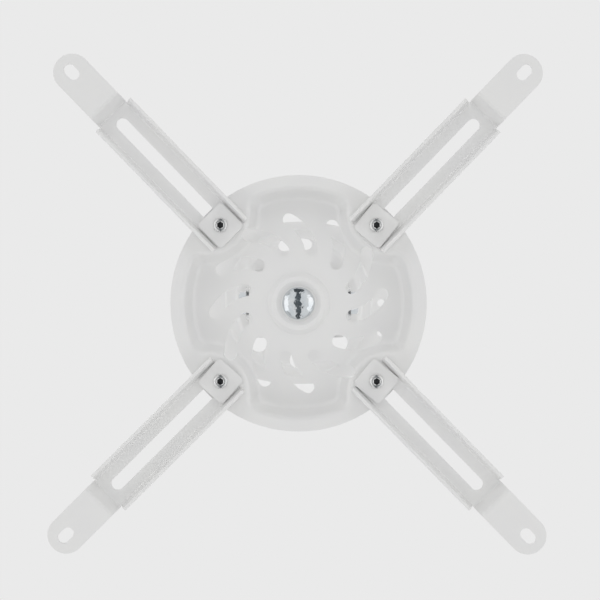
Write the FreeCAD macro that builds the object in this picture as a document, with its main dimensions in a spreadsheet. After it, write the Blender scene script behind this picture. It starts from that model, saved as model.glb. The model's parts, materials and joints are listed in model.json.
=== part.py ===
import FreeCAD, Part
import math
import os
import re
import Sketcher

# Projector ceiling mount, modelled as it hangs. +Z is up, and the origin is the middle of the
# face that lies against the ceiling. Lengths are in millimetres and angles in degrees.

doc = FreeCAD.newDocument("ProjectorCeilingMount")
sizes = doc.addObject("Spreadsheet::Sheet", "Sizes")

DRIVING_SIZES = [
    # Clearance that every moving face and pivot is given
    ("running_gap", 0.05, "between faces that slide or turn on each other, and at pivots"),
    ("bolt_play", 0.25, "between a bolt and a hole that only lets it pass"),
    # Ceiling plate
    ("ceiling_sheet", 2.0, "thickness of the ceiling plate"),
    ("ceiling_corner_x", 44.0, "corner of the outline along X, from the middle, before it is rounded"),
    ("ceiling_corner_y", 36.0, "the same corner along Y"),
    ("ceiling_long_arc", 102.7, "radius of the bowed front and back edges"),
    ("ceiling_short_arc", 76.5, "radius of the bowed left and right edges"),
    ("ceiling_corner_round", 8.0, "rounding of the corners"),
    ("hat_depth", 14.0, "ceiling face to the underside of the pressed hat"),
    ("hat_mouth_radius", 41.2, "outside of the hat where it meets the flange"),
    ("hat_floor_radius", 35.4, "outside of the hat at its floor"),
    ("hat_bend", 1.6, "inner radius of the hat's two bends"),
    ("ceiling_screw_circle", 96.0, "diameter of the circle through the ceiling screw holes"),
    ("ceiling_screw_hole", 5.5, "diameter of the ceiling screw holes"),
    ("tie_hole", 4.2, "diameter of the three small holes along the right edge"),
    ("tie_hole_reach", 46.6, "distance of those holes from the middle, along X"),
    ("tie_hole_pitch", 17.0, "distance from one of them to the next"),
    ("hat_slot_reach", 33.0, "radius of the front window's curved middle line"),
    ("hat_slot_width", 6.4, "width of the front window"),
    ("hat_slot_span", 21.4, "angle between the centres of the front window's round ends"),
    ("hat_slot_turn", 3.5, "how far the front window sits turned to the left of the front"),
    ("hat_hole", 10.0, "diameter of the three round windows at the back of the hat"),
    ("hat_hole_reach", 31.8, "distance of the round windows from the middle"),
    # Swivel bolt and what it clamps
    ("swivel_shank", 8.0, "diameter of the swivel bolt"),
    ("swivel_head", 20.0, "diameter of its domed head"),
    ("swivel_head_rise", 4.8, "height of its domed head"),
    ("swivel_nut_flats", 13.0, "across the flats of its locking nut"),
    ("swivel_nut_height", 8.0, "height of its locking nut"),
    ("swivel_washer_width", 24.0, "diameter of the washer under the nut"),
    ("swivel_washer_sheet", 2.0, "thickness of that washer"),
    ("swivel_pad_width", 44.0, "diameter of the upper friction washer"),
    ("friction_sheet", 1.5, "thickness of the upper friction washer"),
    # Yokes
    ("yoke_sheet", 2.5, "thickness of both yokes"),
    ("yoke_width", 34.4, "width of both yokes, front to back"),
    ("yoke_bend", 1.5, "inner radius of their bends"),
    ("lower_yoke_span", 45.0, "outside width of the lower yoke, ear to ear"),
    ("tilt_pad_sheet", 1.0, "thickness of the friction washers between the ears"),
    ("tilt_pad_width", 22.0, "diameter of the friction washers between the ears"),
    ("ear_radius", 12.0, "rounding of the ears about the tilt axis"),
    ("tilt_axis_drop", 58.0, "ceiling face to the tilt axis"),
    # Six-millimetre hardware: tilt bolts and centre bolt
    ("bolt_shank", 6.0, "diameter of the tilt bolts and of the centre bolt"),
    ("bolt_head_flats", 10.0, "across the flats of the tilt bolts' heads and of the nuts"),
    ("bolt_head_rise", 4.0, "height of the tilt bolts' heads"),
    ("nut_height", 6.0, "height of the locking nuts"),
    ("nut_collar", 1.6, "height of the round collar that is part of a locking nut"),
    ("insert_width", 0.9, "width of the groove for the collar's nylon ring"),
    ("insert_depth", 1.1, "depth of that groove"),
    ("washer_width", 18.0, "diameter of the large washers"),
    ("washer_sheet", 1.6, "thickness of the large washers"),
    ("thread_end", 1.4, "length of bolt that stands out of its nut"),
    ("centre_head", 16.2, "diameter of the centre bolt's domed head"),
    ("centre_head_rise", 3.9, "height of the centre bolt's domed head"),
    ("centre_pad_sheet", 1.0, "thickness of the centre friction washer"),
    ("centre_pad_width", 42.0, "diameter of the centre friction washer"),
    ("head_land", 0.5, "straight rim of a domed head"),
    # Projector plate
    ("plate_drop", 120.0, "ceiling face to the plate's rim face"),
    ("plate_radius", 63.5, "radius of the plate"),
    ("plate_sheet", 2.0, "thickness of the plate"),
    ("recess_radius", 56.9, "radius of the recess at the rim face"),
    ("recess_depth", 9.0, "rim face to the floor's underside"),
    ("wall_lean", 25.0, "lean of the recess wall from upright"),
    ("station_side", 24.4, "station's straight sides, from the middle planes"),
    ("station_round", 20.0, "rounding of a station's inner corner"),
    ("station_blend", 6.0, "rounding where a station's side meets the recess circle"),
    ("floor_bend", 3.0, "inner radius where the wall meets the floor"),
    ("rim_bend", 1.2, "inner radius that the bend from wall to rim is worked out from"),
    ("pivot_pitch", 76.8, "distance between neighbouring clamp screws"),
    ("bead_inner", 9.0, "inner radius of the ring bead round the centre bolt"),
    ("bead_outer", 15.6, "outer radius of the ring bead"),
    ("bead_height", 1.6, "height of the ring bead"),
    ("bead_crest", 2.2, "width of the flat crest of the ring bead"),
    # Swirl vents
    ("vent_count", 12, "number of swirl vents"),
    ("vent_width", 6.2, "width of a vent"),
    ("vent_arc", 21.2, "radius of a vent's curved middle line"),
    ("vent_throw", 27.2, "distance of that curve's centre from the middle"),
    ("vent_bearing", 28.0, "direction of the first curve's centre"),
    ("vent_tail", 59.0, "angle on from that direction to the outer end"),
    ("vent_lead", 112.0, "angle on from that direction to the inner end"),
    # Arms
    ("arm_sheet", 1.8, "thickness of the arms"),
    ("arm_floor_half", 8.9, "half of the arm's flat web, to the flange's foot"),
    ("flange_height", 7.0, "height of the arm's flanges"),
    ("flange_lean", 16.0, "lean of the flanges from upright"),
    ("arm_bend", 0.6, "inner radius between web and flange"),
    ("flange_tip_round", 0.5, "rounding of the flange's edge"),
    ("slot_width", 6.3, "width of the arm's slot"),
    ("slot_run", 71.9, "travel of the screw's centre in the slot"),
    ("flange_start", 4.6, "inner end of the flanges, before the slot's first centre"),
    ("web_start", 6.1, "inner end of the web, before the slot's first centre"),
    ("web_end_round", 4.0, "rounding of the web's inner corners"),
    ("flange_stop", 77.8, "outer end of the flanges, past the slot's first centre"),
    ("jog_start", 79.2, "start of the jog, past the slot's first centre"),
    ("jog_run", 4.2, "length of the jog in plan"),
    ("tab_offset", 8.2, "step of the tab down from the web"),
    ("tab_hole_place", 106.5, "tab hole, past the slot's first centre"),
    ("tab_hole_width", 5.5, "width of the tab hole"),
    ("tab_hole_length", 8.7, "length of the tab hole"),
    ("tab_width", 18.5, "width of the tab"),
    ("tab_end", 115.3, "outer end of the tab, past the slot's first centre"),
    ("front_left_in", 2.2, "how far the front left arm is slid in from its outer stop"),
    ("front_right_in", 2.7, "the same for the front right arm"),
    ("back_left_in", 0.0, "the same for the back left arm"),
    ("back_right_in", 0.8, "the same for the back right arm"),
    # Clamp plates, screws and nuts
    ("clamp_side", 16.4, "side of the square clamp plates"),
    ("clamp_sheet", 2.0, "thickness of the clamp plates"),
    ("clamp_round", 2.0, "rounding of their corners"),
    ("clamp_chamfer", 0.8, "chamfer of the edges that face the arm"),
    ("clamp_shank", 4.0, "diameter of the clamp screws"),
    ("clamp_head", 7.0, "diameter of their heads"),
    ("clamp_head_rise", 4.0, "height of their heads"),
    ("clamp_socket", 3.0, "across the flats of their sockets"),
    ("clamp_socket_depth", 2.4, "depth of their sockets"),
    ("clamp_nut_flats", 7.0, "across the flats of the clamp nuts"),
    ("clamp_nut_height", 3.2, "height of the clamp nuts"),
    ("clamp_nut_collar", 11.0, "diameter of the clamp nuts' flange"),
    ("clamp_nut_collar_sheet", 1.0, "thickness of the clamp nuts' flange"),
]

for row, (alias, amount, note) in enumerate(DRIVING_SIZES, start=1):
    sizes.set(f"A{row}", alias)
    sizes.set(f"B{row}", str(amount))
    sizes.set(f"C{row}", note)
    sizes.setAlias(f"B{row}", alias)
doc.recompute()

ALIASES = re.compile(r"\b(" + "|".join(alias for alias, _, _ in DRIVING_SIZES) + r")\b")
UP = FreeCAD.Vector(0, 0, 1)
ALONG_X = FreeCAD.Vector(1, 0, 0)

# Levels, as formulas of the sizes
HAT_FLOOR = "(-hat_depth)"
UPPER_WEB_TOP = f"({HAT_FLOOR} - friction_sheet - running_gap)"
UPPER_WEB_UNDER = f"({UPPER_WEB_TOP} - yoke_sheet)"
SWIVEL_WASHER_TOP = f"({UPPER_WEB_UNDER} - running_gap)"
SWIVEL_NUT_TOP = f"({SWIVEL_WASHER_TOP} - swivel_washer_sheet)"
TILT_AXIS = "(-tilt_axis_drop)"
RIM_FACE = "(-plate_drop)"
FLOOR_UNDER = f"({RIM_FACE} + recess_depth)"
FLOOR_TOP = f"({FLOOR_UNDER} + plate_sheet)"
LOWER_WEB_UNDER = f"({FLOOR_TOP} + centre_pad_sheet + running_gap)"
LOWER_WEB_TOP = f"({LOWER_WEB_UNDER} + yoke_sheet)"
CENTRE_WASHER_UNDER = f"({LOWER_WEB_TOP} + running_gap)"
CENTRE_NUT_UNDER = f"({CENTRE_WASHER_UNDER} + washer_sheet)"
ARM_TOP = f"({RIM_FACE} - running_gap)"
ARM_UNDER = f"({ARM_TOP} - arm_sheet)"
CLAMP_TOP = f"({ARM_UNDER} - running_gap)"
CLAMP_UNDER = f"({CLAMP_TOP} - clamp_sheet)"
CLAMP_HEAD_TOP = f"({CLAMP_UNDER} - running_gap)"

# Distances out along X at the tilt axis
LOWER_EAR_FACE = "(lower_yoke_span / 2)"
LOWER_EAR_INSIDE = f"({LOWER_EAR_FACE} - yoke_sheet)"
TILT_PAD_FACE = f"({LOWER_EAR_FACE} + running_gap)"
UPPER_EAR_INSIDE = f"({TILT_PAD_FACE} + tilt_pad_sheet)"
UPPER_EAR_FACE = f"({UPPER_EAR_INSIDE} + yoke_sheet)"
TILT_HEAD_FACE = f"({UPPER_EAR_FACE} + washer_sheet)"
TILT_NUT_FACE = f"({LOWER_EAR_INSIDE} - running_gap)"


def formula(text):
    """A size formula with each name pointed at its cell."""
    return ALIASES.sub(r"Sizes.\1", str(text))


def value(text):
    """The number that a size formula gives."""
    return float(sizes.evalExpression(ALIASES.sub(r"\1", str(text))))


def bind(feature, prop, text):
    """Ties a property to a size formula."""
    feature.setExpression(prop, formula(text))


def new_body(label):
    body = doc.addObject("PartDesign::Body", label)
    body.Label = label
    return body


def origin_feature(body, role):
    return next(item for item in body.Origin.OriginFeatures if item.Role == role)


def new_sketch(body, role, offset="0"):
    """A sketch on one of the body's own planes, moved along the plane's normal."""
    sketch = body.newObject("Sketcher::SketchObject", "Sketch")
    sketch.AttachmentSupport = [(origin_feature(body, role), "")]
    sketch.MapMode = "FlatFace"
    bind(sketch, "AttachmentOffset.Base.z", offset)
    return sketch


def hold(sketch, kind, where, text):
    """A dimension that follows a size formula."""
    index = sketch.addConstraint(Sketcher.Constraint(kind, *where, value(text)))
    sketch.setExpression(f"Constraints[{index}]", formula(text))


def hold_point(sketch, geometry, end, x, y):
    """Fixes a point of the sketch at two size formulas."""
    for kind, text, axis in (("DistanceX", x, -2), ("DistanceY", y, -1)):
        if text == "0":
            sketch.addConstraint(Sketcher.Constraint("PointOnObject", geometry, end, axis))
        else:
            hold(sketch, kind, (-1, 1, geometry, end), text)


def add_circle(sketch, radius, x="0", y="0"):
    centre = FreeCAD.Vector(value(x), value(y), 0)
    index = sketch.addGeometry(Part.Circle(centre, UP, value(radius)))
    hold(sketch, "Radius", (index,), radius)
    if (x, y) == ("0", "0"):
        sketch.addConstraint(Sketcher.Constraint("Coincident", index, 3, -1, 1))
    else:
        hold_point(sketch, index, 3, x, y)


def add_outline(sketch, corners):
    """A closed outline of straight lines through corners given as size formulas."""
    points = [FreeCAD.Vector(value(x), value(y), 0) for x, y in corners]
    lines = [sketch.addGeometry(Part.LineSegment(start, points[(i + 1) % len(points)]))
             for i, start in enumerate(points)]
    for i, line in enumerate(lines):
        sketch.addConstraint(Sketcher.Constraint("Coincident", line, 2, lines[(i + 1) % len(lines)], 1))
        hold_point(sketch, line, 1, *corners[i])


def add_hexagon(sketch, flats):
    """A hexagon whose flats are the given distance apart."""
    across_corners = f"({flats} / cos(30))"
    corners = [(f"{across_corners} / 2 * cos({turn})", f"{across_corners} / 2 * sin({turn})")
               for turn in (30, 90, 150, 210, 270, 330)]
    corners = [("0" if abs(value(x)) < 1e-6 else x, y) for x, y in corners]
    add_outline(sketch, corners)


def add_slot(sketch, width, first, last):
    """A slot along X with round ends, centred on two places along X."""
    half = value(width) / 2
    ends = (value(first), value(last))
    centres = [FreeCAD.Vector(x, 0, 0) for x in ends]
    near = sketch.addGeometry(Part.ArcOfCircle(Part.Circle(centres[0], UP, half), math.pi / 2,
                                               3 * math.pi / 2))
    far = sketch.addGeometry(Part.ArcOfCircle(Part.Circle(centres[1], UP, half), -math.pi / 2,
                                              math.pi / 2))
    low = sketch.addGeometry(Part.LineSegment(centres[0] - FreeCAD.Vector(0, half, 0),
                                              centres[1] - FreeCAD.Vector(0, half, 0)))
    high = sketch.addGeometry(Part.LineSegment(centres[1] + FreeCAD.Vector(0, half, 0),
                                               centres[0] + FreeCAD.Vector(0, half, 0)))
    for here, end, there, start in ((near, 2, low, 1), (low, 2, far, 1), (far, 2, high, 1),
                                    (high, 2, near, 1)):
        sketch.addConstraint(Sketcher.Constraint("Tangent", here, end, there, start))
    hold(sketch, "Radius", (near,), f"{width} / 2")
    hold_point(sketch, near, 3, first, "0")
    hold_point(sketch, far, 3, last, "0")


def add_arc_slot(sketch, middle_radius, width, first, last, x="0", y="0"):
    """A slot that follows an arc about a centre, with round ends at two directions."""
    centre = FreeCAD.Vector(value(x), value(y), 0)
    start, stop = math.radians(value(first)), math.radians(value(last))
    radius, half = value(middle_radius), value(width) / 2

    def cap_centre(angle):
        return centre + FreeCAD.Vector(radius * math.cos(angle), radius * math.sin(angle), 0)

    outer = sketch.addGeometry(Part.ArcOfCircle(Part.Circle(centre, UP, radius + half), start, stop))
    inner = sketch.addGeometry(Part.ArcOfCircle(Part.Circle(centre, UP, radius - half), start, stop))
    tail = sketch.addGeometry(Part.ArcOfCircle(Part.Circle(cap_centre(stop), UP, half), stop,
                                               stop + math.pi))
    head = sketch.addGeometry(Part.ArcOfCircle(Part.Circle(cap_centre(start), UP, half),
                                               start + math.pi, start + 2 * math.pi))
    for kind, here, end, there, begin in (
            ("Tangent", outer, 2, tail, 1), ("Coincident", tail, 2, inner, 2),
            ("Coincident", inner, 1, head, 1), ("Tangent", head, 2, outer, 1)):
        sketch.addConstraint(Sketcher.Constraint(kind, here, end, there, begin))
    for arc, text in ((outer, f"{middle_radius} + {width} / 2"), (inner, f"{middle_radius} - {width} / 2")):
        hold(sketch, "Radius", (arc,), text)
        hold_point(sketch, arc, 3, x, y)
    for cap, angle in ((tail, last), (head, first)):
        steep = abs(math.sin(math.radians(value(angle)))) > 0.7
        kind, text = ("DistanceX", f"{x} + {middle_radius} * cos({angle})") if steep else (
            "DistanceY", f"{y} + {middle_radius} * sin({angle})")
        hold(sketch, kind, (-1, 1, cap, 3), text)


def pad(body, sketch, length, symmetric=False, flipped=False, taper=None):
    feature = body.newObject("PartDesign::Pad", "Pad")
    feature.Profile = sketch
    bind(feature, "Length", length)
    feature.SideType = "Symmetric" if symmetric else "One side"
    feature.Reversed = flipped
    if taper:
        bind(feature, "TaperAngle", taper)
    return feature


def pocket(body, sketch, length=None, flipped=False, taper=None):
    """A cut of a given depth or, with no depth, right through both ways."""
    feature = body.newObject("PartDesign::Pocket", "Pocket")
    feature.Profile = sketch
    feature.Reversed = flipped
    if length is None:
        feature.Type = "ThroughAll"
        feature.SideType = "Symmetric"
    else:
        bind(feature, "Length", length)
    if taper:
        bind(feature, "TaperAngle", taper)
    return feature


def revolve(body, sketch):
    """A full turn about the body's Z axis."""
    feature = body.newObject("PartDesign::Revolution", "Revolution")
    feature.Profile = sketch
    feature.ReferenceAxis = (origin_feature(body, "Z_Axis"), [""])
    feature.Angle = 360
    return feature


def around(body, features, count):
    """Copies of features, evenly spaced about the body's Z axis."""
    pattern = body.newObject("PartDesign::PolarPattern", "PolarPattern")
    pattern.Originals = features
    pattern.Axis = (origin_feature(body, "Z_Axis"), [""])
    pattern.Angle = 360
    bind(pattern, "Occurrences", count)
    body.Tip = pattern
    return pattern


def picked_edges(feature, test):
    """Names of the edges whose middle and curve pass a test."""
    doc.recompute()
    names = []
    for number, edge in enumerate(feature.Shape.Edges, start=1):
        middle = edge.valueAt((edge.FirstParameter + edge.LastParameter) / 2)
        if test(edge, middle):
            names.append(f"Edge{number}")
    return names


def fillet(body, feature, radius, test):
    rounded = body.newObject("PartDesign::Fillet", "Fillet")
    rounded.Base = (feature, picked_edges(feature, test))
    bind(rounded, "Radius", radius)
    return rounded


def chamfer(body, feature, size, test):
    cut = body.newObject("PartDesign::Chamfer", "Chamfer")
    cut.Base = (feature, picked_edges(feature, test))
    bind(cut, "Size", size)
    return cut


def near(one, other):
    return abs(one - other) < 0.01


def is_line_along(edge, axis):
    if not isinstance(edge.Curve, Part.Line):
        return False
    return abs(abs(edge.Curve.Direction.dot(axis)) - 1) < 1e-6


def is_circle_at(edge, middle, radius, level):
    """Whether an edge is a circle about the body's Z axis."""
    if not isinstance(edge.Curve, Part.Circle):
        return False
    return near(edge.Curve.Radius, radius) and near(middle.z, level)


def set_place(piece, x="0", y="0", z="0"):
    for axis, text in (("x", x), ("y", y), ("z", z)):
        bind(piece, f"Placement.Base.{axis}", text)


def set_turn(piece, axis, angle):
    piece.Placement.Rotation = FreeCAD.Rotation(axis, value(angle))
    bind(piece, "Placement.Rotation.Angle", angle)


def lay_along_x(piece, side):
    """Turns a piece so that its own +Z points out along X on one side."""
    piece.Placement.Rotation = FreeCAD.Rotation(FreeCAD.Vector(0, 1, 0), 90 * side)


def make_washer(label, width, hole, thickness):
    """A flat ring that stands on its own XY plane."""
    body = new_body(label)
    sketch = new_sketch(body, "XY_Plane")
    add_circle(sketch, f"{width} / 2")
    add_circle(sketch, f"{hole} / 2")
    pad(body, sketch, thickness)
    return body


def bevel_corners(body, flats, level, way):
    """Takes the corners of a hexagon's end face off at 30 degrees."""
    section = new_sketch(body, "XZ_Plane")
    far = f"({flats} / 2 / cos(30) + 1)"
    add_outline(section, [(f"{flats} / 2", level), (far, level),
                          (far, f"{level} {way} ({far} - {flats} / 2) * tan(30)")])
    groove = body.newObject("PartDesign::Groove", "Groove")
    groove.Profile = section
    groove.ReferenceAxis = (origin_feature(body, "Z_Axis"), [""])
    groove.Angle = 360


def make_lock_nut(label, flats, height, shank):
    """A hexagon nut with a round collar on top, standing on its own XY plane."""
    body = new_body(label)
    sketch = new_sketch(body, "XY_Plane")
    add_hexagon(sketch, flats)
    pad(body, sketch, f"{height} - nut_collar")
    bevel_corners(body, flats, "0", "+")
    collar = new_sketch(body, "XY_Plane")
    add_circle(collar, f"{flats} * 0.45")
    chamfer(body, pad(body, collar, height), "nut_collar * 0.25",
            lambda edge, middle: near(middle.z, value(height)))
    bore = new_sketch(body, "XY_Plane")
    add_circle(bore, f"{shank} / 2 + running_gap")
    pocket(body, bore)
    groove = new_sketch(body, "XY_Plane", height)
    add_circle(groove, f"{shank} / 2 + insert_width")
    pocket(body, groove, "insert_depth")
    return body


def make_dome_bolt(label, shank, head, rise, neck_length, length):
    """A bolt with a domed head below its own XY plane, a square neck and a shank above it."""
    body = new_body(label)
    dome = new_sketch(body, "XZ_Plane")
    half, height, land = value(head) / 2, value(rise), value("head_land")
    crown = height - land
    ball = (half * half + crown * crown) / (2 * crown)
    points = [FreeCAD.Vector(0, 0, 0), FreeCAD.Vector(half, 0, 0), FreeCAD.Vector(half, -land, 0),
              FreeCAD.Vector(0, -height, 0)]
    top = dome.addGeometry(Part.LineSegment(points[0], points[1]))
    edge = dome.addGeometry(Part.LineSegment(points[1], points[2]))
    reach = math.asin(half / ball)
    centre = FreeCAD.Vector(0, ball - height, 0)
    crown_arc = dome.addGeometry(Part.ArcOfCircle(Part.Circle(centre, UP, ball), -math.pi / 2,
                                                  -math.pi / 2 + reach))
    spine = dome.addGeometry(Part.LineSegment(points[3], points[0]))
    for here, end, there, start in ((top, 2, edge, 1), (edge, 2, crown_arc, 2), (crown_arc, 1, spine, 1),
                                    (spine, 2, top, 1)):
        dome.addConstraint(Sketcher.Constraint("Coincident", here, end, there, start))
    dome.addConstraint(Sketcher.Constraint("Coincident", top, 1, -1, 1))
    hold_point(dome, top, 2, f"{head} / 2", "0")
    hold_point(dome, edge, 2, f"{head} / 2", "-head_land")
    hold_point(dome, spine, 1, "0", f"-{rise}")
    dome.addConstraint(Sketcher.Constraint("PointOnObject", crown_arc, 3, -2))
    revolve(body, dome)
    neck = new_sketch(body, "XY_Plane")
    side = f"{shank} / 2"
    add_outline(neck, [(side, side), (f"-{side}", side), (f"-{side}", f"-{side}"), (side, f"-{side}")])
    pad(body, neck, neck_length)
    shaft = new_sketch(body, "XY_Plane")
    add_circle(shaft, f"{shank} / 2")
    chamfer(body, pad(body, shaft, length), f"{shank} * 0.1",
            lambda edge, middle: near(middle.z, value(length)))
    return body


def cut_square_hole(body, shank):
    """A square hole that keeps a square neck from turning."""
    sketch = new_sketch(body, "XY_Plane")
    side = f"({shank} / 2 + running_gap)"
    add_outline(sketch, [(side, side), (f"-{side}", side), (f"-{side}", f"-{side}"), (side, f"-{side}")])
    pocket(body, sketch)


def make_ceiling_plate():
    """A cushion-shaped flange with a round hat pressed down out of it, and windows in the hat."""
    body = new_body("ceiling_plate")
    flange = new_sketch(body, "XY_Plane")
    corner_x, corner_y = value("ceiling_corner_x"), value("ceiling_corner_y")
    short, long = ("ceiling_short_arc", corner_x, corner_y), ("ceiling_long_arc", corner_y, corner_x)
    sides = []
    for quarter, (bow, reach, half) in enumerate((short, long, short, long)):
        arc, middle = value(bow), quarter * math.pi / 2
        inset = math.sqrt(arc * arc - half * half) - reach
        spread = math.asin(half / arc)
        centre = FreeCAD.Vector(-inset * math.cos(middle), -inset * math.sin(middle), 0)
        sides.append(flange.addGeometry(Part.ArcOfCircle(Part.Circle(centre, UP, arc), middle - spread,
                                                         middle + spread)))
        hold(flange, "Radius", (sides[-1],), bow)
    starts = (("", "-"), ("", ""), ("-", ""), ("-", "-"))
    for i, side in enumerate(sides):
        flange.addConstraint(Sketcher.Constraint("Coincident", side, 2, sides[(i + 1) % 4], 1))
        hold_point(flange, side, 1, f"{starts[i][0]}ceiling_corner_x", f"{starts[i][1]}ceiling_corner_y")
    plate = pad(body, flange, "ceiling_sheet", flipped=True)
    fillet(body, plate, "ceiling_corner_round",
           lambda edge, middle: is_line_along(edge, UP) and near(abs(middle.x), corner_x))

    mouth = new_sketch(body, "XY_Plane")
    add_circle(mouth, "hat_mouth_radius")
    pocket(body, mouth)
    lean = "(hat_mouth_radius - hat_floor_radius) / (hat_depth - ceiling_sheet)"
    thick = f"(ceiling_sheet * sqrt(1 + ({lean})^2))"
    section = new_sketch(body, "XZ_Plane")
    add_outline(section, [("hat_mouth_radius + ceiling_sheet", "0"),
                          ("hat_mouth_radius + ceiling_sheet", "-ceiling_sheet"),
                          ("hat_mouth_radius", "-ceiling_sheet"),
                          ("hat_floor_radius", "-hat_depth"),
                          ("0", "-hat_depth"),
                          ("0", "-hat_depth + ceiling_sheet"),
                          (f"hat_floor_radius - {thick} + ceiling_sheet * {lean}",
                           "-hat_depth + ceiling_sheet"),
                          (f"hat_mouth_radius - {thick} + ceiling_sheet * {lean}", "0")])
    hat = revolve(body, section)
    inner_mouth = value(f"hat_mouth_radius - {thick} + ceiling_sheet * {lean}")
    inner_floor = value(f"hat_floor_radius - {thick} + ceiling_sheet * {lean}")
    sharp = ((value("hat_mouth_radius"), -value("ceiling_sheet")), (inner_floor, value(
        "-hat_depth + ceiling_sheet")))
    soft = ((inner_mouth, 0.0), (value("hat_floor_radius"), -value("hat_depth")))
    tight = fillet(body, hat, "hat_bend", lambda edge, middle: any(
        is_circle_at(edge, middle, radius, level) for radius, level in sharp))
    fillet(body, tight, "hat_bend + ceiling_sheet", lambda edge, middle: any(
        is_circle_at(edge, middle, radius, level) for radius, level in soft))

    window = new_sketch(body, "XY_Plane")
    add_arc_slot(window, "hat_slot_reach", "hat_slot_width",
                 "(-90 - hat_slot_turn - hat_slot_span / 2)", "(-90 - hat_slot_turn + hat_slot_span / 2)")
    pocket(body, window)
    round_windows = new_sketch(body, "XY_Plane")
    for across, along in (("hat_hole_reach * cos(45)", "hat_hole_reach * sin(45)"),
                          ("0", "hat_hole_reach"),
                          ("-hat_hole_reach * cos(45)", "hat_hole_reach * sin(45)")):
        add_circle(round_windows, "hat_hole / 2", across, along)
    pocket(body, round_windows)
    ties = new_sketch(body, "XY_Plane")
    for along in ("-tie_hole_pitch", "0", "tie_hole_pitch"):
        add_circle(ties, "tie_hole / 2", "tie_hole_reach", along)
    pocket(body, ties)

    screw = new_sketch(body, "XY_Plane")
    add_circle(screw, "ceiling_screw_hole / 2", "ceiling_screw_circle / 2 * cos(45)",
               "ceiling_screw_circle / 2 * sin(45)")
    around(body, [pocket(body, screw)], "4")
    cut_square_hole(body, "swivel_shank")


def make_swivel_parts():
    """The bolt that the upper yoke turns on, with its washers and nut."""
    neck = "(ceiling_sheet + friction_sheet)"
    head_seat = f"({HAT_FLOOR} + ceiling_sheet)"
    length = f"({head_seat} - {SWIVEL_NUT_TOP} + swivel_nut_height + thread_end)"
    bolt = make_dome_bolt("swivel_bolt", "swivel_shank", "swivel_head", "swivel_head_rise",
                          neck, length)
    bolt.Placement.Rotation = FreeCAD.Rotation(ALONG_X, 180)
    set_place(bolt, z=head_seat)
    friction = make_washer("swivel_friction_washer", "swivel_pad_width",
                           "(swivel_shank * sqrt(2) + 2 * running_gap)", "friction_sheet")
    set_place(friction, z=f"{HAT_FLOOR} - friction_sheet")
    washer = make_washer("swivel_washer", "swivel_washer_width", "(swivel_shank + 2 * bolt_play)",
                         "swivel_washer_sheet")
    set_place(washer, z=SWIVEL_NUT_TOP)
    nut = make_lock_nut("swivel_nut", "swivel_nut_flats", "swivel_nut_height", "swivel_shank")
    nut.Placement.Rotation = FreeCAD.Rotation(ALONG_X, 180)
    set_place(nut, z=SWIVEL_NUT_TOP)


def make_yoke(label, inside, web_face, ear_hole, web_hole):
    """A U-shaped bracket in its own frame: web on the XY plane, ears standing up to the tilt axis.

    web_face is the web's outer face, and the ears reach from it to the tilt axis.
    """
    body = new_body(label)
    outside = f"({inside} + yoke_sheet)"
    half = "(yoke_width / 2)"
    reach = f"abs({web_face} - {TILT_AXIS})"
    web = new_sketch(body, "XY_Plane")
    add_outline(web, [(outside, half), (f"-{outside}", half), (f"-{outside}", f"-{half}"),
                      (outside, f"-{half}")])
    pad(body, web, "yoke_sheet")

    shoulder = "(yoke_bend + yoke_sheet + 1)"
    radius, length, edge_at = value("ear_radius"), value(reach), value(half)
    rise = value(shoulder)
    chord = math.hypot(edge_at, length - rise)
    turn = math.atan2(length - rise, edge_at) - math.acos(radius / chord)
    touch = FreeCAD.Vector(radius * math.cos(turn), length - radius * math.sin(turn), 0)
    for side in (-1, 1):
        ear = new_sketch(body, "YZ_Plane", inside if side > 0 else f"-{outside}")
        corners = [FreeCAD.Vector(x, y, 0) for x, y in ((-edge_at, rise), (-edge_at, 0), (edge_at, 0),
                                                        (edge_at, rise))]
        top = FreeCAD.Vector(0, length, 0)
        down, foot, up = [ear.addGeometry(Part.LineSegment(corners[i], corners[i + 1]))
                          for i in range(3)]
        right = ear.addGeometry(Part.LineSegment(corners[3], touch))
        crown = ear.addGeometry(Part.ArcOfCircle(Part.Circle(top, UP, radius), -turn, math.pi + turn))
        left = ear.addGeometry(Part.LineSegment(FreeCAD.Vector(-touch.x, touch.y, 0), corners[0]))
        for kind, here, end, there, start in (
                ("Coincident", down, 2, foot, 1), ("Coincident", foot, 2, up, 1),
                ("Coincident", up, 2, right, 1), ("Tangent", right, 2, crown, 1),
                ("Tangent", crown, 2, left, 1), ("Coincident", left, 2, down, 1)):
            ear.addConstraint(Sketcher.Constraint(kind, here, end, there, start))
        hold_point(ear, down, 1, f"-{half}", shoulder)
        hold_point(ear, foot, 1, f"-{half}", "0")
        hold_point(ear, foot, 2, half, "0")
        hold_point(ear, up, 2, half, shoulder)
        hold_point(ear, crown, 3, "0", reach)
        hold(ear, "Radius", (crown,), "ear_radius")
        last = pad(body, ear, "yoke_sheet")
    outside_at, inside_at, sheet = value(outside), value(inside), value("yoke_sheet")
    y_axis = FreeCAD.Vector(0, 1, 0)
    inner = fillet(body, last, "yoke_bend", lambda edge, middle: (
        is_line_along(edge, y_axis) and near(abs(middle.x), inside_at) and near(middle.z, sheet)))
    fillet(body, inner, "yoke_bend + yoke_sheet", lambda edge, middle: (
        is_line_along(edge, y_axis) and near(abs(middle.x), outside_at) and near(middle.z, 0)))

    pivot = new_sketch(body, "YZ_Plane")
    add_circle(pivot, f"{ear_hole} / 2", "0", reach)
    pocket(body, pivot)
    bore = new_sketch(body, "XY_Plane")
    add_circle(bore, f"{web_hole} / 2")
    pocket(body, bore)
    return body


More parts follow.
